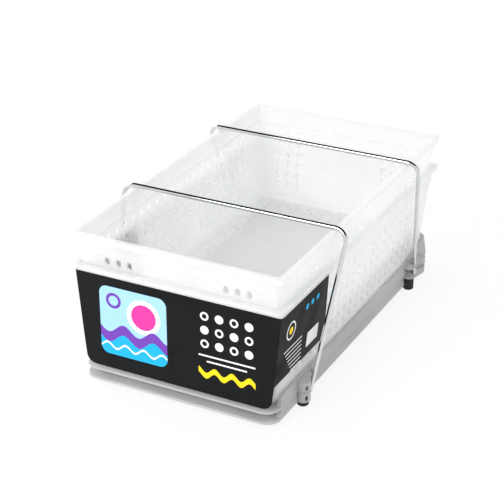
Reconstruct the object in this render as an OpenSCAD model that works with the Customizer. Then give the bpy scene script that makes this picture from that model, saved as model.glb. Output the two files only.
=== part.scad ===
// Under sink organizer in its packed state: two shallow trays stacked under two nested
// perforated bins, two wire frames over them, four rubber feet and a printed wrap card.
// Millimetres, Z up, front towards -Y. The origin is on the floor, in the middle of the trays.

/* [Trays] */
// length of a tray, front to back
tray_l = 412.8; // [380:0.2:450]
// height of the side walls of a tray
tray_h = 12.6; // [11:0.2:20]
// height of the hollow block along the back of a tray
block_h = 21.5; // [18:0.5:30]
// thickness of the skirt under a tray and of the block's walls
tray_wall = 1; // [0.8:0.05:1.1]
// thickness of the floor plate of a tray
plate_t = 1.1; // [0.9:0.1:2]
// height of one tray above the other in the stack
tray_pitch = 11.6; // [11.4:0.1:16]
// corner radius of a tray in plan
tray_r = 15; // [8:0.5:20]
// setback of the side walls from the front edge
wall_setback = 15.4; // [8:0.2:30]
// length of the side walls' slope up to the block's height
ramp_l = 35; // [15:1:60]
// length of the high part of the side walls, with the block
high_l = 43.4; // [34:0.2:50]

/* [Ears and feet] */
// height of an ear
ear_h = 11.2; // [9.5:0.1:11.2]
// thickness of the flange along the top of an ear
ear_flange_t = 1.8; // [1.2:0.1:3]
// reach of the ear's lug behind the wire, out from the tray's side
lug_out = 1.4; // [1:0.1:4]
// thickness of the web between a tray's side and the wire's channel
leg_web = 0.55; // [0.5:0.05:1]
// wall thickness of the cup at the end of an ear
cup_wall = 1.3; // [1:0.1:2]
// distance of a foot's middle out from the tray's side
cup_off = 2.5; // [2.5:0.1:4]
// distance from a leg to the middle of its ear's cup
cup_reach = 15; // [14:0.1:19]
// distance from a rear leg to its foot
foot_reach = 13.9; // [13:0.1:20]
// diameter of a rubber foot
foot_d = 12; // [8:0.5:12]
// height of the lower tray above the floor
tray_z = 5.5; // [2:0.5:8]

/* [Bins] */
// length of a bin over its rim
rim_l = 403.2; // [390:0.2:404]
// width of a bin over its rim
rim_w = 232; // [190:0.5:260]
// height of a bin
bin_h = 111.5; // [80:0.5:140]
// wall thickness of a bin
bin_wall = 2.6; // [1.6:0.1:2.8]
// thickness of the floor of a bin
floor_t = 2.2; // [1.5:0.1:4]
// reach of the rim out from the wall
rim_out = 3; // [2.5:0.1:6]
// height of the turned-down edge of the rim
rim_drop = 5.5; // [4:0.5:10]
// thickness of the rim
rim_t = 1.3; // [1:0.1:2]
// height of the plain band under the rim
band_h = 19.5; // [14:0.5:22]
// width of the step between the band and the pierced wall
step_w = 1.2; // [0.6:0.1:1.8]
// inward lean of the end walls, as a share of the height
end_draft = 0.105; // [0.1:0.005:0.13]
// corner radius of a bin at its floor
bin_r = 4; // [3:0.5:12]
// corner radius of the rim
rim_r = 4; // [3:0.5:12]
// size of the slope between wall and floor
toe = 5; // [3:0.5:8]
// height of the inner bin above the outer one
nest = 34; // [31:0.5:50]
// distance of the bins in front of the middle of the trays
bins_front = 4.6; // [4.2:0.1:6]

/* [Holes in the bins] */
// width of a slot in the walls
slot_w = 6; // [3:0.1:9]
// height of a slot in the walls
slot_h = 8.5; // [7:0.1:11]
// spacing of the columns along the side walls
column_pitch = 16.1; // [12:0.1:24]
// spacing of the rows
row_pitch = 12.4; // [11.5:0.1:18]
// depth of the top row under the rim
top_row = 27; // [26:0.5:36]
// spacing of the columns in the end walls
end_pitch = 12.5; // [11:0.1:20]
// half the width of the plain middle of the end walls
plain_half = 46.7; // [20:0.1:60]
// diameter of a drain hole in the floor
drain_d = 3; // [2:0.1:5]
// spacing of the drain holes
drain_pitch = 13.5; // [9:0.1:20]
// distance of the outer drain holes from the foot of the wall
drain_inset = 16; // [11:0.5:22]

/* [Wire frames] */
// diameter of the wire
wire_d = 4.5; // [3:0.1:4.6]
// radius of the bends, measured to the middle of the wire
bend_r = 13; // [8:0.5:13]
// reach of the frames' upper corners out from the rim
wire_off = 12; // [12:0.5:20]
// distance between the crossbars
top_gap = 186; // [150:0.1:220]
// distance between the lower ends of the two frames
foot_gap = 279.3; // [265:0.1:290]
// distance of the wire frames behind the middle of the trays
frames_back = 8.4; // [0:0.1:10]

/* [Wrap card] */
// thickness of the card
card_t = 0.6; // [0.4:0.1:1]
// length of the side flaps along the top
flap_top_l = 105; // [60:1:130]
// length of the side flaps along the bottom
flap_foot_l = 111; // [60:1:130]
// height of the front panel's lower edge above the outer bin's floor
card_low = 1.8; // [1.2:0.1:6]
// height of the flaps' lower edge over the front panel's, at the fold
flap_rise = 11.5; // [11:0.5:20]
// rise of the flaps' lower edge towards the back
flap_slope = 9; // [0:0.5:16]
// radius of the lower corners of the front panel
card_r = 11; // [4:0.5:11]

/* [Fits] */
// gap between pieces that seat or slide
gap = 0.3; // [0.3:0.02:0.4]
// gap between a bin and the side walls and block of its tray
bay_gap = 0.5; // [0.4:0.05:0.6]

/* [Hidden] */
$fn = 48;
// corner facets of the leaning shells
shell_fn = 32;
overshoot = 1;

// Stack heights
plate_z = tray_h - tray_pitch + gap;
plate_top = plate_z + plate_t;
upper_z = tray_z + tray_pitch;
bin_z = upper_z + plate_top + gap;
inner_z = bin_z + nest;
rim_top = inner_z + bin_h;

// Bins: the lean of the side walls lets the inner bin wedge a wall and a gap inside the outer one
side_draft = (bin_wall + gap) / nest;
band_x = rim_w / 2 - rim_out;
band_y = rim_l / 2 - rim_out;
step_z = bin_h - band_h;
base_x = band_x - step_w - bin_h * side_draft;
base_y = band_y - step_w - bin_h * end_draft;
columns = floor((2 * base_y - 70) / column_pitch) + 1;
end_columns = floor((base_x - 12 - plain_half) / end_pitch);
rows = floor((bin_h - top_row - toe - slot_h) / row_pitch) + 1;

// Trays: the bay follows the bin, and the outside leans enough to nest
tray_draft = (tray_wall + gap) / tray_pitch;
bay_x = base_x + bay_gap;
bay_y = base_y - bins_front + bay_gap;
bay_z = plate_top + gap;
tray_half = bay_x + (block_h - bay_z) * side_draft + 1.4 + block_h * tray_draft;

// Wire frames
bar_z = rim_top + 2 * gap + wire_d / 2;
tip_z = tray_z + 1.5;
leg_h = bar_z - tip_z;
lean_rate = (foot_gap - top_gap) / 2 / leg_h;
lean = atan(lean_rate);
leg_l = leg_h / cos(lean);
top_x = rim_w / 2 + wire_off;
tip_x = tray_half + leg_web + gap + wire_d / 2;
splay = atan((top_x - tip_x) / leg_l);
turn = 90 + splay;
bend_reach = bend_r * tan(turn / 2);
bend_steps = 12;
wire_facets = 24;

// Ears: the front ones reach forwards from their legs and the rear ones backwards
front_leg_y = frames_back - foot_gap / 2;
rear_leg_y = frames_back + foot_gap / 2;
cup_r = foot_d / 2 + gap + cup_wall;
cup_x = tray_half + cup_off;
ear_x = cup_x + cup_r;
front_cup_y = front_leg_y - cup_reach;
rear_foot_y = rear_leg_y - foot_reach;
foot_top = tray_z + ear_h - ear_flange_t - gap;

// a rectangle with round corners, from its half sizes
module round_rect(x, y, r, facets = $fn) {
    square([2 * x, 2 * (y - r)], center = true);
    square([2 * (x - r), 2 * y], center = true);
    for (sx = [-1, 1], sy = [-1, 1])
        translate([sx * (x - r), sy * (y - r)])
            circle(r = r, $fn = facets);
}

// the corners of a rectangle with round corners, in order round it
function outline_points(x, y, r, n) = [
    for (corner = [[1, 1, 0], [-1, 1, 90], [-1, -1, 180], [1, -1, 270]], i = [0 : n])
        let (t = corner[2] + 90 * i / n)
            [corner.x * (x - r) + r * cos(t), corner.y * (y - r) + r * sin(t)]
];

// a block whose walls lean from one half size at its foot to another at its top
module leaning_block(z, h, x0, y0, x1, y1, r) {
    foot_points = outline_points(x0, y0, r, shell_fn / 4);
    top_points = outline_points(x1, y1, r, shell_fn / 4);
    n = len(foot_points);
    polyhedron(
        points = concat([for (p = foot_points) [p.x, p.y, z]], [for (p = top_points) [p.x, p.y, z + h]]),
        faces = concat(
            [[for (i = [0 : n - 1]) i], [for (i = [n - 1 : -1 : 0]) n + i]],
            [for (i = [0 : n - 1]) let (j = (i + 1) % n) [j, i, n + i, n + j]]
        )
    );
}

// a prism through the whole part, from an outline seen from the right
module side_prism(points) {
    rotate([90, 0, 90])
        translate([0, 0, -rim_w])
            linear_extrude(height = 2 * rim_w)
                polygon(points);
}

// a prism through the whole part, from an outline seen from the back
module front_prism(points) {
    rotate([90, 0, 0])
        translate([0, 0, -rim_l])
            linear_extrude(height = 2 * rim_l)
                polygon(points);
}

// a shell of leaning walls taken as one piece, before any true round holes are cut in it
module as_one() {
    resize([0, 0, 0])
        children();
}

// Trays

// the leaning outside of a tray, a given distance inside its skin
module tray_block(z, h, inset) {
    x = tray_half - inset;
    y = tray_l / 2 - inset;
    top = z + h;
    leaning_block(z, h, x - z * tray_draft, y - z * tray_draft,
        x - top * tray_draft, y - top * tray_draft, tray_r - inset);
}

// side view of a tray, lowered by a wall for its hollow
module tray_profile(drop) {
    front = -tray_l / 2;
    back = tray_l / 2;
    side_prism([
        [front - overshoot, -2 * overshoot],
        [front - overshoot, plate_top - drop],
        [front + wall_setback, plate_top - drop],
        [front + wall_setback + 4, tray_h - drop],
        [back - high_l - ramp_l, tray_h - drop],
        [back - high_l, block_h - drop],
        [back + overshoot, block_h - drop],
        [back + overshoot, -2 * overshoot]
    ]);
}

// the bay between the side walls that a bin slides in, open at the front;
// the hollow's own bay is a wall larger, which leaves the side walls standing
module tray_bay(z, drop, grow) {
    high = block_h + overshoot;
    x0 = bay_x + (z + drop - bay_z) * side_draft - grow;
    x1 = bay_x + (high + drop - bay_z) * side_draft - grow;
    y0 = bay_y + (z + drop - bay_z) * end_draft - grow;
    y1 = bay_y + (high + drop - bay_z) * end_draft - grow;
    intersection() {
        front_prism([[-x0, z], [x0, z], [x1, high], [-x1, high]]);
        side_prism([[-tray_l, z], [y0, z], [y1, high], [-tray_l, high]]);
    }
}

// room under the floor plate, and inside the block and the high side walls,
// open underneath for the tray below
module tray_hollow() {
    start = tray_l / 2 - high_l - ramp_l - 2;
    intersection() {
        tray_block(-overshoot, block_h + overshoot, tray_wall);
        union() {
            translate([-rim_w, -rim_l, -overshoot])
                cube([2 * rim_w, 2 * rim_l, plate_z + overshoot]);
            difference() {
                intersection() {
                    tray_profile(tray_wall);
                    translate([-rim_w, start, -overshoot])
                        cube([2 * rim_w, tray_l / 2 - start, block_h + overshoot]);
                }
                tray_bay(-2 * overshoot, tray_pitch, gap);
            }
        }
    }
}

// outline of an ear: its cup, the body that narrows towards the wire, and a thin lug behind it
module ear_body(leg_y, way) {
    cup_y = leg_y - way * cup_reach;
    wire_side = tip_x + 1.2;
    translate([cup_x, cup_y])
        circle(r = cup_r);
    polygon([
        [tray_half - 3, cup_y],
        [ear_x, cup_y],
        [wire_side, leg_y - way * 4],
        [wire_side, leg_y + way * 2],
        [tray_half + lug_out, leg_y + way * 5],
        [tray_half + lug_out, leg_y + way * 9.5],
        [tray_half - 3, leg_y + way * 11]
    ]);
}

// straight channel that a wire leg drops into in either tray, leaning with the leg
module leg_channel(leg_y, way, width, x0, x1) {
    far = tray_pitch * sin(lean);
    translate([0, leg_y + way * (tray_z - tip_z) * lean_rate, 0])
        rotate([-way * lean, 0, 0])
            translate([x0, way > 0 ? -width / 2 : -width / 2 - far, -ear_h])
                cube([x1 - x0, width + far, 3 * ear_h]);
}

// an upright outline with round ends
module slot_outline(w, h) {
    square([w, h - w], center = true);
    for (s = [-1, 1])
        translate([0, s * (h - w) / 2])
            circle(d = w, $fn = 24);
}

// one ear on the right side; way is 1 for the front ear and -1 for the rear one
module ear(leg_y, way) {
    linear_extrude(height = ear_h)
        ear_body(leg_y, way);
    // thin plate over the rear foot
    if (way < 0)
        translate([0, 0, ear_h - ear_flange_t])
            linear_extrude(height = ear_flange_t) {
                translate([cup_x, rear_foot_y])
                    circle(r = cup_r);
                translate([tray_half - 3, rear_foot_y])
                    square([lug_out + 3, foot_reach - 4]);
                translate([tray_half - 3, rear_foot_y - cup_r])
                    square([cup_x - tray_half + 3, cup_r + 1]);
            }
}

// what is cut out of an ear
module ear_rooms(leg_y, way) {
    cup_y = leg_y - way * cup_reach;
    // room for a foot in the cup, and beside the rear leg
    translate([cup_x, cup_y, -overshoot])
        cylinder(d = foot_d + 2 * gap, h = ear_h - ear_flange_t + overshoot);
    if (way < 0)
        translate([cup_x, rear_foot_y, -overshoot])
            cylinder(d = foot_d + 2 * gap, h = ear_h - ear_flange_t + overshoot);
    // the leg's channel, open outwards
    leg_channel(leg_y, way, wire_d + 2 * gap, tip_x - wire_d / 2 - gap, ear_x + overshoot);
    // the rear ear's underside rises towards the back
    if (way < 0)
        translate([tray_half + 0.4, 0, 0])
            rotate([90, 0, 90])
                linear_extrude(height = rim_w)
                    polygon([
                        [leg_y + 3, -overshoot],
                        [leg_y + 3, 0],
                        [leg_y + cup_reach + cup_r + 1, ear_h - 3],
                        [leg_y + cup_reach + cup_r + 1, -overshoot]
                    ]);
    // small window in the cup
    translate([cup_x, cup_y, ear_h / 2 - 1])
        rotate([0, 0, -way * 35])
            rotate([90, 0, 90])
                linear_extrude(height = cup_r + overshoot)
                    slot_outline(3, 6);
}

module tray() {
    as_one()
        difference() {
            union() {
                intersection() {
                    tray_block(0, block_h, 0);
                    tray_profile(0);
                }
                for (side = [0, 1])
                    mirror([side, 0, 0]) {
                        ear(front_leg_y, 1);
                        ear(rear_leg_y, -1);
                    }
            }
            tray_bay(plate_top, 0, 0);
            tray_hollow();
            for (side = [0, 1])
                mirror([side, 0, 0]) {
                    ear_rooms(front_leg_y, 1);
                    ear_rooms(rear_leg_y, -1);
                }
        }
}

module lower_tray() {
    color([0.8, 0.81, 0.82])
        translate([0, 0, tray_z])
            tray();
}

module upper_tray() {
    color([0.84, 0.85, 0.86])
        translate([0, 0, upper_z])
            tray();
}

// Feet

module foot(side, foot_y) {
    color([0.06, 0.06, 0.07])
        translate([side * cup_x, foot_y, 0])
            rotate_extrude()
                polygon([
                    [0, 0],
                    [foot_d / 2 - 1, 0],
                    [foot_d / 2, 1],
                    [foot_d / 2, foot_top],
                    [0, foot_top]
                ]);
}

// Bins

// the solid that a bin's pierced wall bounds, shrunk by a wall for the inside
module bin_form(inset, low) {
    x0 = base_x - inset;
    y0 = base_y - inset;
    toe_x = x0 + (low + toe) * side_draft;
    toe_y = y0 + (low + toe) * end_draft;
    under = inset > 0 ? step_z + rim_t : step_z;
    high = inset > 0 ? bin_h + overshoot : bin_h;
    leaning_block(low, toe, toe_x - toe * 0.8, toe_y - toe * 0.8, toe_x, toe_y, bin_r - inset);
    leaning_block(low + toe, under - toe - low, toe_x, toe_y,
        x0 + under * side_draft, y0 + under * end_draft, bin_r - inset);
    leaning_block(under, high - under, x0 + step_w + under * side_draft, y0 + step_w + under * end_draft,
        x0 + step_w + high * side_draft, y0 + step_w + high * end_draft, bin_r + step_w - inset);
}

module rim() {
    translate([0, 0, bin_h - rim_drop])
        difference() {
            linear_extrude(height = rim_drop)
                round_rect(rim_w / 2, rim_l / 2, rim_r, shell_fn);
            translate([0, 0, -overshoot])
                linear_extrude(height = rim_drop - rim_t + overshoot)
                    round_rect(rim_w / 2 - rim_t, rim_l / 2 - rim_t, rim_r - rim_t, shell_fn);
        }
}

module wall_slots() {
    for (row = [0 : rows - 1]) {
        z = bin_h - top_row - row * row_pitch;
        for (column = [0 : columns - 1])
            translate([-rim_w, (column - (columns - 1) / 2) * column_pitch, z])
                rotate([90, 0, 90])
                    linear_extrude(height = 2 * rim_w)
                        slot_outline(slot_w, slot_h);
        for (column = [0 : end_columns - 1], side = [-1, 1])
            translate([side * (plain_half + end_pitch / 2 + column * end_pitch), rim_l, z])
                rotate([90, 0, 0])
                    linear_extrude(height = 2 * rim_l)
                        slot_outline(slot_w, slot_h);
    }
}

module drain_holes() {
    near_x = base_x - drain_inset;
    near_y = base_y - drain_inset;
    along = floor(near_y / drain_pitch);
    across = floor((near_x - drain_pitch) / drain_pitch);
    for (side = [-1, 1]) {
        for (i = [-along : along], row = [0, 1])
            translate([side * (near_x - row * drain_pitch / 2), (i + row / 2 - 0.25) * drain_pitch, -overshoot])
                cylinder(d = drain_d, h = floor_t + 2 * overshoot, $fn = 24);
        for (i = [-across : across], row = [0, 1])
            translate([(i + row / 2 - 0.25) * drain_pitch, side * (near_y - row * drain_pitch / 2), -overshoot])
                cylinder(d = drain_d, h = floor_t + 2 * overshoot, $fn = 24);
    }
}

module bin() {
    difference() {
        as_one()
            difference() {
                union() {
                    bin_form(0, 0);
                    rim();
                }
                bin_form(bin_wall, floor_t);
            }
        wall_slots();
        drain_holes();
    }
}

module outer_bin() {
    color([0.9, 0.91, 0.92, 0.7])
        translate([0, -bins_front, bin_z])
            bin();
}

module inner_bin() {
    color([0.93, 0.94, 0.95, 0.7])
        translate([0, -bins_front, inner_z])
            bin();
}

// Wire frames

// one half of a wire frame flat in its own plane, from the crossbar down its leg towards -Y,
// as rings that each have a middle and an outward direction
function half_rings(side) = concat(
    [for (i = [0 : bend_steps])
        let (t = 90 - i * turn / bend_steps)
            [[side * (top_x - bend_reach + bend_r * cos(t)), bend_r * (sin(t) - 1)],
                [side * cos(t), sin(t)]]],
    [[[side * tip_x, -leg_l], [side * cos(splay), -sin(splay)]]]
);

function backwards(list) = [for (i = [len(list) - 1 : -1 : 0]) list[i]];

// a wire swept through its rings
module flat_frame() {
    rings = concat(backwards(half_rings(-1)), half_rings(1));
    n = wire_facets;
    points = [for (ring = rings, j = [0 : n - 1])
        let (out = wire_d / 2 * cos(360 * j / n))
            [ring[0].x + out * ring[1].x, ring[0].y + out * ring[1].y, wire_d / 2 * sin(360 * j / n)]];
    sides = [for (i = [0 : len(rings) - 2], j = [0 : n - 1], upper = [0, 1])
        let (a = i * n + j, b = i * n + (j + 1) % n)
            upper == 1 ? [a, b + n, b] : [a, a + n, b + n]];
    first_end = [for (j = [0 : n - 1]) j];
    last_end = [for (j = [n - 1 : -1 : 0]) (len(rings) - 1) * n + j];
    polyhedron(points = points, faces = concat(sides, [first_end, last_end]), convexity = 6);
}

module wire_frame(way) {
    color([0.75, 0.76, 0.78])
        translate([0, frames_back - way * top_gap / 2, bar_z])
            rotate([90 - way * lean, 0, 0])
                flat_frame();
}

module front_wire_frame() {
    wire_frame(1);
}

module rear_wire_frame() {
    wire_frame(-1);
}

// Wrap card

card_z = bin_z + card_low;
card_top = bin_z + bin_h - rim_drop - 2 * gap;
card_x0 = base_x + step_w + (card_z - bin_z) * side_draft + gap;
card_x1 = base_x + step_w + (card_top - bin_z) * side_draft + gap;
card_y = base_y + step_w + (card_top - bin_z) * end_draft + bins_front + gap;

// block between the card's inner faces, grown by its thickness for the outside
module card_block(grow) {
    leaning_block(card_z, card_top - card_z, card_x0 + grow, card_y + grow,
        card_x1 + grow, card_y + grow, 1 + grow);
}

// front view of the card, with its round lower corners
module card_front() {
    x0 = card_x0 + card_t;
    x1 = card_x1 + card_t + overshoot;
    rotate([90, 0, 0])
        translate([0, 0, -rim_l])
            linear_extrude(height = 2 * rim_l)
                hull() {
                    for (side = [-1, 1])
                        translate([side * (x0 - card_r), card_z + card_r])
                            circle(r = card_r, $fn = 32);
                    translate([0, card_top])
                        square([2 * x1, 2], center = true);
                }
}

module wrap_card() {
    fold_y = -card_y + 2;
    color([0.09, 0.1, 0.11])
        as_one()
            difference() {
                intersection() {
                    card_block(card_t);
                    card_front();
                }
                // the inside, open above and below
                leaning_block(card_z - overshoot, card_top - card_z + 2 * overshoot,
                    card_x0 - overshoot * side_draft, card_y, card_x1 + overshoot * side_draft, card_y, 1);
                // all behind the flaps, and the room under them
                side_prism([
                    [fold_y, card_z - overshoot],
                    [fold_y, card_z + flap_rise],
                    [fold_y + flap_foot_l, card_z + flap_rise + flap_slope],
                    [fold_y + flap_top_l, card_top + overshoot],
                    [rim_l, card_top + overshoot],
                    [rim_l, card_z - overshoot]
                ]);
            }
}

lower_tray();
upper_tray();
outer_bin();
inner_bin();
front_wire_frame();
rear_wire_frame();
foot(-1, front_cup_y);  // foot_front_left
foot(1, front_cup_y);  // foot_front_right
foot(-1, rear_foot_y);  // foot_rear_left
foot(1, rear_foot_y);  // foot_rear_right
wrap_card();
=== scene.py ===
import math

import bpy
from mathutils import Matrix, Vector


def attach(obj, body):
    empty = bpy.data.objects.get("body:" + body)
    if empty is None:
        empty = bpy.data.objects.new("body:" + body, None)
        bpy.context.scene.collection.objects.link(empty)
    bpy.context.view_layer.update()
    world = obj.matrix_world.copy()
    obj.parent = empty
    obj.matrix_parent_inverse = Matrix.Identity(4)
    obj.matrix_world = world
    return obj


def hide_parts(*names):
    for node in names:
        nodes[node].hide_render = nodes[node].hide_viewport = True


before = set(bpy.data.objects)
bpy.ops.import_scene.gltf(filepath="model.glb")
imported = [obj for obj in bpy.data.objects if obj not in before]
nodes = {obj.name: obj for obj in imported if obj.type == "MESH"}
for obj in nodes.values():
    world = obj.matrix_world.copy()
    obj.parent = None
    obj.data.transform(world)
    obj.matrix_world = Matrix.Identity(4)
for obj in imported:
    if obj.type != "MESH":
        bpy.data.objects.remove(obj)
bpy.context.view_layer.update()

# Under sink organizer, packed: two bins in each other on two trays, under two wire frames.
# Metres, in the frame of the CAD model: Z up, the open front towards -Y.

mm = 0.001
print("frame loaded:", len(nodes), "nodes")


class Flow:
    # a socket of a material; sums on it add Math nodes
    def __init__(self, paint, socket):
        self.paint = paint
        self.socket = socket

    def math(self, operation, *values):
        return self.paint.node("ShaderNodeMath", {"operation": operation}, dict(enumerate(values)))

    def __add__(self, other):
        return self.math("ADD", self, other)

    def __sub__(self, other):
        return self.math("SUBTRACT", self, other)

    def __rsub__(self, other):
        return self.math("SUBTRACT", other, self)

    def __mul__(self, other):
        return self.math("MULTIPLY", self, other)

    def __truediv__(self, other):
        return self.math("DIVIDE", self, other)

    def __gt__(self, other):
        return self.math("GREATER_THAN", self, other)

    def __lt__(self, other):
        return self.math("LESS_THAN", self, other)

    def __abs__(self):
        return self.math("ABSOLUTE", self)

    __radd__ = __add__
    __rmul__ = __mul__

    def smaller(self, other):
        return self.math("MINIMUM", self, other)

    def larger(self, other):
        return self.math("MAXIMUM", self, other)

    def root(self):
        return self.math("SQRT", self)

    def wave(self):
        return self.math("SINE", self)


class Paint:
    # one material and its node tree
    def __init__(self, name):
        self.material = bpy.data.materials.new(name)
        self.material.use_nodes = True
        self.tree = self.material.node_tree
        self.tree.nodes.clear()

    def node(self, kind, settings=None, values=None, out=0):
        made = self.tree.nodes.new(kind)
        for key, value in (settings or {}).items():
            if key == "stops":
                for stop, (place, colour) in zip(made.color_ramp.elements, value):
                    stop.position = place
                    stop.color = colour
            else:
                setattr(made, key, value)
        for key, value in (values or {}).items():
            if isinstance(value, Flow):
                self.tree.links.new(value.socket, made.inputs[key])
            else:
                made.inputs[key].default_value = value
        return Flow(self, made.outputs[out]) if len(made.outputs) else None

    def place(self):
        # Object coordinates, then each axis of them in millimetres
        spot = self.node("ShaderNodeTexCoord", out="Object")
        axes = [self.node("ShaderNodeSeparateXYZ", None, {0: spot}, out) * 1000 for out in range(3)]
        return spot, axes

    def noise(self, spot, scale, detail=2.0, rough=0.5):
        values = {"Vector": spot, "Scale": scale, "Detail": detail, "Roughness": rough}
        return self.node("ShaderNodeTexNoise", {"noise_dimensions": "3D"}, values)

    def mix(self, share, first, second):
        values = {"Factor": share, 6: first, 7: second}
        return self.node("ShaderNodeMix", {"data_type": "RGBA"}, values, 2)

    def ramp(self, share, low, high, dark, light):
        # share from low to high taken to a value from dark to light
        values = {0: share, 1: low, 2: high, 3: dark, 4: light}
        return self.node("ShaderNodeMapRange", {"clamp": True}, values)

    def bump(self, height, strength, distance, normal=None):
        values = {"Strength": strength, "Distance": distance, "Height": height}
        if normal:
            values["Normal"] = normal
        return self.node("ShaderNodeBump", None, values)

    def finish(self, shader):
        self.node("ShaderNodeOutputMaterial", None, {"Surface": shader})
        return self.material


def rgb(red, green, blue):
    return (red, green, blue, 1.0)


binLook = {
    "white": rgb(0.975, 0.977, 0.977),
    "shade": rgb(0.95, 0.953, 0.954),
    "throughLight": 0.4,
    "clear": (0.58, 0.7),   # share of each skin that is seen through, least and most
    "edgeFrost": 0.75,      # share of the clearness lost where a skin is seen edge on
    "roughness": (0.3, 0.42),
    "gloss": 0.16,
    "grainSize": 0.9,       # mm
    "edgeRadius": 0.7,      # mm, of the moulded edges
}

trayLook = {
    "white": rgb(0.7, 0.7, 0.705),
    "shade": rgb(0.62, 0.62, 0.625),
    "throughLight": 0.3,
    "clear": (0.16, 0.28),
    "edgeFrost": 0.6,
    "roughness": (0.34, 0.46),
    "gloss": 0.4,
    "grainSize": 0.8,
    "edgeRadius": 0.6,
}


def frostedPlastic(name, look):
    paint = Paint(name)
    spot, _ = paint.place()
    cloud = paint.noise(spot, 14.0, 3.0)
    grain = paint.noise(spot, 1000 / look["grainSize"], 2.0, 0.6)
    colour = paint.mix(paint.ramp(cloud, 0.35, 0.7, 0.0, 1.0), look["white"], look["shade"])
    low, high = look["roughness"]
    roughness = paint.ramp(paint.noise(spot, 60.0, 2.0), 0.3, 0.7, low, high)
    rounded = paint.node("ShaderNodeBevel", {"samples": 4}, {"Radius": look["edgeRadius"] * mm})
    normal = paint.bump(grain, 0.12, 0.15 * mm, rounded)
    skin = paint.node("ShaderNodeBsdfPrincipled", None, {
        "Base Color": colour, "Roughness": roughness, "Normal": normal,
        "IOR": 1.46, "Specular IOR Level": look["gloss"]})
    through = paint.node("ShaderNodeBsdfTranslucent", None, {"Color": colour, "Normal": normal})
    frost = paint.node("ShaderNodeMixShader", None, {0: look["throughLight"], 1: skin, 2: through})
    clear = paint.node("ShaderNodeBsdfTransparent", None, {"Color": rgb(0.985, 0.988, 0.988)})
    least, most = look["clear"]
    slant = paint.node("ShaderNodeLayerWeight", None, {"Blend": 0.35, "Normal": normal}, "Facing")
    seen = paint.ramp(cloud, 0.35, 0.7, most, least) * (1 - slant * look["edgeFrost"])
    return paint.finish(paint.node("ShaderNodeMixShader", None, {0: seen, 1: frost, 2: clear}))


binPlastic = frostedPlastic("frostedBinPlastic", binLook)
trayPlastic = frostedPlastic("frostedTrayPlastic", trayLook)


wireLook = {
    "steel": rgb(0.62, 0.63, 0.65),
    "bright": rgb(0.74, 0.75, 0.76),
    "roughness": (0.05, 0.11),
}


def chromeWire():
    paint = Paint("chromedWire")
    spot, _ = paint.place()
    haze = paint.noise(spot, 35.0, 3.0)
    colour = paint.mix(haze, wireLook["steel"], wireLook["bright"])
    low, high = wireLook["roughness"]
    roughness = paint.ramp(haze, 0.3, 0.7, low, high)
    normal = paint.bump(paint.noise(spot, 220.0, 2.0), 0.03, 0.1 * mm)
    return paint.finish(paint.node("ShaderNodeBsdfPrincipled", None, {
        "Base Color": colour, "Roughness": roughness, "Normal": normal, "Metallic": 1.0}))


rubberLook = {"black": rgb(0.012, 0.012, 0.013), "dusty": rgb(0.035, 0.035, 0.036)}


def footRubber():
    paint = Paint("blackRubber")
    spot, _ = paint.place()
    dust = paint.noise(spot, 160.0, 4.0)
    colour = paint.mix(paint.ramp(dust, 0.45, 0.8, 0.0, 1.0), rubberLook["black"], rubberLook["dusty"])
    normal = paint.bump(paint.noise(spot, 1400.0, 2.0), 0.2, 0.1 * mm)
    return paint.finish(paint.node("ShaderNodeBsdfPrincipled", None, {
        "Base Color": colour, "Roughness": paint.ramp(dust, 0.3, 0.7, 0.6, 0.8), "Normal": normal}))


wireChrome = chromeWire()
footBlack = footRubber()


# printed card: plain shapes only, in the colours of such a wrap

cardLook = {
    "black": rgb(0.008, 0.009, 0.0095),
    "soot": rgb(0.0105, 0.0115, 0.0125),
    "white": rgb(0.86, 0.86, 0.86),
    "yellow": rgb(0.9, 0.66, 0.02),
    "sky": rgb(0.36, 0.62, 0.85),
    "cyan": rgb(0.02, 0.42, 0.76),
    "magenta": rgb(0.78, 0.05, 0.33),
    "violet": rgb(0.17, 0.06, 0.42),
    "board": rgb(0.8, 0.8, 0.79),
    "panelMiddle": (-48.0, 76.0),   # mm, across and up, of the picture panel
    "panelSize": 76.0,
}


class Print(Paint):
    # coats of ink laid one over another, by masks in millimetres
    def block(self, across, up, middle, size, corner):
        # a rectangle with round corners, about its middle
        dx = (abs(across - middle[0]) - (size[0] / 2 - corner)).larger(0.0)
        dy = (abs(up - middle[1]) - (size[1] / 2 - corner)).larger(0.0)
        return (dx * dx + dy * dy).root() < corner

    def distance(self, across, up, middle):
        dx = across - middle[0]
        dy = up - middle[1]
        return (dx * dx + dy * dy).root()

    def disc(self, across, up, middle, radius):
        return self.distance(across, up, middle) < radius

    def ring(self, across, up, middle, radius, width):
        return abs(self.distance(across, up, middle) - radius) < width / 2

    def ribbon(self, across, up, height, swing, length, width):
        # a wavy band along the card
        return abs(up - height - (across * (6.2832 / length)).wave() * swing) < width / 2


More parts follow.
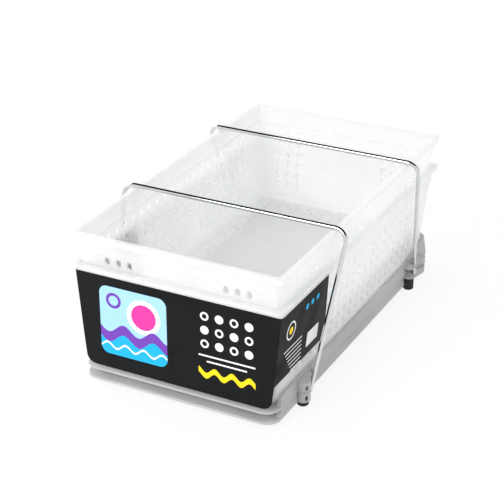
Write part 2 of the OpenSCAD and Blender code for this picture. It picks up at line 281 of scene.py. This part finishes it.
def cardInk(frontAt):
    paint = Print("printedCard")
    spot, (x, y, z) = paint.place()
    front = y < frontAt
    side = 1 - front
    colour = paint.mix(paint.ramp(paint.noise(spot, 22.0, 3.0), 0.4, 0.65, 0.0, 1.0),
                       cardLook["black"], cardLook["soot"])
    px, pz = cardLook["panelMiddle"]
    size = cardLook["panelSize"]
    panel = paint.block(x, z, (px, pz), (size, size), 9) * front
    coats = [
        (panel, "sky"),
        (paint.disc(x, z, (px + 12, pz + 12), 19) * panel, "white"),
        (paint.disc(x, z, (px + 12, pz + 12), 14) * panel, "magenta"),
        (paint.ribbon(x, z, pz - 14, 5, 34, 13) * panel, "violet"),
        ((z < pz - 19 + (x * 0.185).wave() * 5) * panel, "cyan"),
        (paint.ribbon(x, z, pz - 28, 3, 21, 2.2) * panel, "white"),
        (paint.ring(x, z, (px - 22, pz + 23), 7, 3.2) * panel, "violet"),
        (paint.ribbon(x, z, 45, 3.2, 19, 6.5) * paint.block(x, z, (56, 45), (62, 18), 2) * front, "yellow"),
    ]
    for row in range(3):
        for step in range(4):
            middle = (32 + step * 16, 107 - row * 15)
            mark = paint.disc if (row + step) % 2 else paint.ring
            width = (4.6,) if (row + step) % 2 else (3.6, 2.0)
            coats.append((mark(x, z, middle, *width) * front, "white"))
    for height in (64, 58):
        coats.append((paint.block(x, z, (56, height), (62 - (64 - height) * 3, 1.8), 0.9) * front, "white"))
    # the side flaps
    coats += [
        (paint.block(y, z, (-122, 66), (26, 17), 1.5) * side, "white"),
        (paint.ring(y, z, (-176, 98), 9, 1.8) * side, "white"),
        (paint.disc(y, z, (-176, 98), 4) * side, "yellow"),
    ]
    for step in range(7):
        coats.append((paint.block(y, z, (-168 + step * 2, 78 - step * 5), (40 - step * 3, 1.2), 0.6) * side, "white"))
    for step in range(3):
        coats.append((paint.disc(y, z, (-118 - step * 12, 108), 3.2) * side, "cyan"))
    for mask, ink in coats:
        colour = paint.mix(mask, colour, cardLook[ink])
    fibre = paint.noise(spot, 700.0, 3.0)
    normal = paint.bump(fibre, 0.05, 0.1 * mm)
    roughness = paint.ramp(paint.noise(spot, 40.0, 2.0), 0.3, 0.7, 0.42, 0.55)
    return paint.finish(paint.node("ShaderNodeBsdfPrincipled", None, {
        "Base Color": colour, "Roughness": roughness, "Normal": normal, "IOR": 1.45,
        "Specular IOR Level": 0.1}))


def boardEdge():
    # the white core that shows where the card is cut
    paint = Paint("cutBoard")
    spot, _ = paint.place()
    grain = paint.noise(spot, 900.0, 3.0)
    colour = paint.mix(paint.ramp(grain, 0.35, 0.7, 0.0, 1.0), cardLook["board"], cardLook["white"])
    return paint.finish(paint.node("ShaderNodeBsdfPrincipled", None, {
        "Base Color": colour, "Roughness": paint.ramp(grain, 0.3, 0.7, 0.7, 0.85),
        "Normal": paint.bump(grain, 0.2, 0.05 * mm)}))


cardBack = max(corner[1] for corner in nodes["wrap_card"].bound_box)
cardFront = min(corner[1] for corner in nodes["wrap_card"].bound_box)
cardPrint = cardInk(cardFront / mm + 0.7)
cardCut = boardEdge()
print("materials made")


def deselectAll():
    bpy.ops.object.select_all(action="DESELECT")


def makeActive(piece):
    deselectAll()
    piece.select_set(True)
    bpy.context.view_layer.objects.active = piece


def setMaterial(piece, material):
    piece.data.materials.clear()
    piece.data.materials.append(material)


def smoothShell(node, name, body, material, angle=32.0):
    # a merged, smooth-shaded copy of a CAD node, which it stands for
    source = nodes[node]
    piece = bpy.data.objects.new(name, source.data.copy())
    bpy.context.scene.collection.objects.link(piece)
    makeActive(piece)
    if piece.data.has_custom_normals:
        bpy.ops.mesh.customdata_custom_splitnormals_clear()
    bpy.ops.object.mode_set(mode="EDIT")
    bpy.ops.mesh.select_all(action="SELECT")
    bpy.ops.mesh.remove_doubles(threshold=0.002 * mm)
    bpy.ops.object.mode_set(mode="OBJECT")
    bpy.ops.object.shade_smooth_by_angle(angle=math.radians(angle))
    setMaterial(piece, material)
    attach(piece, body)
    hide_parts(node)
    return piece


outerBin = smoothShell("outer_bin", "lowerBinShell", "bins", binPlastic)
innerBin = smoothShell("inner_bin", "upperBinShell", "bins", binPlastic)
lowerTray = smoothShell("lower_tray", "lowerTrayShell", "trays", trayPlastic)
upperTray = smoothShell("upper_tray", "upperTrayShell", "trays", trayPlastic)
frontWire = smoothShell("front_wire_frame", "frontWireBar", "front_wire", wireChrome, 60)
rearWire = smoothShell("rear_wire_frame", "rearWireBar", "rear_wire", wireChrome, 60)
wrapCard = smoothShell("wrap_card", "wrapCardSleeve", "bins", cardPrint)
wrapCard.data.materials.append(cardCut)
for face in wrapCard.data.polygons:
    cut = abs(face.normal.z) > 0.6 or abs(face.normal.y) > 0.6 and face.center.y > cardFront + 1.5 * mm
    face.material_index = 1 if cut and face.area < 4 * mm * mm * 60 else 0
for corner in ("front_left", "front_right", "rear_left", "rear_right"):
    setMaterial(nodes["foot_" + corner], footBlack)
print("pieces made")


studioLook = {
    "floorSize": 8.0,
    "floorTone": rgb(0.9, 0.9, 0.9),
    "cameraShare": 0.86,    # share of plain white that the camera sees on the floor
    "worldStrength": 0.94,
    "keyPower": 38.0,
    "keyPlace": (-0.6, -2.3, 1.5),
    "keySize": 1.4,
    "fillPower": 12.0,
    "fillPlace": (-1.8, 0.3, 1.2),
    "fillSize": 1.2,
}


def makeFloor():
    deselectAll()
    bpy.ops.mesh.primitive_plane_add(size=studioLook["floorSize"], location=(0, 0, -0.1 * mm))
    floor = bpy.context.object
    floor.name = "studioFloor"
    paint = Paint("paleFloor")
    rays = [paint.node("ShaderNodeLightPath", out=out)
            for out in ("Is Camera Ray", "Is Glossy Ray", "Is Transmission Ray")]
    seen = (rays[0] + rays[1] + rays[2]).smaller(1.0) * studioLook["cameraShare"]
    plain = paint.node("ShaderNodeBsdfDiffuse", None, {"Color": studioLook["floorTone"]})
    white = paint.node("ShaderNodeEmission", None, {"Color": rgb(1, 1, 1), "Strength": 1.0})
    setMaterial(floor, paint.finish(paint.node("ShaderNodeMixShader", None, {0: seen, 1: plain, 2: white})))


def makeDarkCard(name, place, turn, width, height):
    # a black flag that only the gloss of the pieces sees
    deselectAll()
    bpy.ops.mesh.primitive_plane_add(size=1.0, location=place, rotation=turn)
    flag = bpy.context.object
    flag.name = name
    flag.scale = (width, height, 1.0)
    for ray in ("camera", "diffuse", "transmission", "volume_scatter", "shadow"):
        setattr(flag, "visible_" + ray, False)
    paint = Paint(name)
    setMaterial(flag, paint.finish(paint.node("ShaderNodeEmission", None, {
        "Color": rgb(0.01, 0.01, 0.011), "Strength": 1.0})))


def makeWorld():
    world = bpy.data.worlds.new("whiteStudio")
    bpy.context.scene.world = world
    world.use_nodes = True
    tree = world.node_tree
    tree.nodes.clear()
    output = tree.nodes.new("ShaderNodeOutputWorld")
    path = tree.nodes.new("ShaderNodeLightPath")
    shades = []
    for strength in (studioLook["worldStrength"], 1.0):
        shade = tree.nodes.new("ShaderNodeBackground")
        shade.inputs["Color"].default_value = rgb(1, 1, 1)
        shade.inputs["Strength"].default_value = strength
        shades.append(shade)
    share = None
    for ray in ("Is Camera Ray", "Is Glossy Ray", "Is Transmission Ray"):
        if share is None:
            share = path.outputs[ray]
        else:
            total = tree.nodes.new("ShaderNodeMath")
            total.operation = "MAXIMUM"
            tree.links.new(share, total.inputs[0])
            tree.links.new(path.outputs[ray], total.inputs[1])
            share = total.outputs[0]
    mix = tree.nodes.new("ShaderNodeMixShader")
    tree.links.new(share, mix.inputs[0])
    tree.links.new(shades[0].outputs[0], mix.inputs[1])
    tree.links.new(shades[1].outputs[0], mix.inputs[2])
    tree.links.new(mix.outputs[0], output.inputs["Surface"])


def makeLamp(name, place, power, size):
    lamp = bpy.data.lights.new(name, "AREA")
    lamp.energy = power
    lamp.shape = "DISK"
    lamp.size = size
    holder = bpy.data.objects.new(name, lamp)
    holder.location = place
    holder.rotation_euler = (Vector((0, 0, 0.08)) - Vector(place)).to_track_quat("-Z", "Y").to_euler()
    bpy.context.scene.collection.objects.link(holder)


cameraLook = {
    "eye": (0.6386, -1.2877, 0.7835),
    "towards": (-0.4109, 0.7991, -0.4387),
    "lens": 106.8,
}


def makeCamera():
    lens = bpy.data.cameras.new("photoCamera")
    lens.sensor_width = 36.0
    lens.lens = cameraLook["lens"]
    lens.clip_start = 0.05
    lens.clip_end = 50.0
    holder = bpy.data.objects.new("photoCamera", lens)
    holder.location = cameraLook["eye"]
    holder.rotation_euler = Vector(cameraLook["towards"]).to_track_quat("-Z", "Y").to_euler()
    bpy.context.scene.collection.objects.link(holder)
    bpy.context.scene.camera = holder


makeFloor()
makeDarkCard("rearFlag", (0.0, 1.5, 0.75), (math.radians(90), 0, 0), 4.0, 1.5)
makeDarkCard("topFlag", (0.0, 0.1, 1.5), (0, 0, 0), 4.0, 2.8)
makeWorld()
makeLamp("keyLamp", studioLook["keyPlace"], studioLook["keyPower"], studioLook["keySize"])
makeLamp("fillLamp", studioLook["fillPlace"], studioLook["fillPower"], studioLook["fillSize"])
makeCamera()
bpy.context.scene.view_settings.view_transform = "Standard"
# light crosses the thin frosted walls many times
bpy.context.scene.cycles.max_bounces = 24
bpy.context.scene.cycles.diffuse_bounces = 12
bpy.context.scene.cycles.transmission_bounces = 16
bpy.context.scene.cycles.transparent_max_bounces = 32
print("studio made")
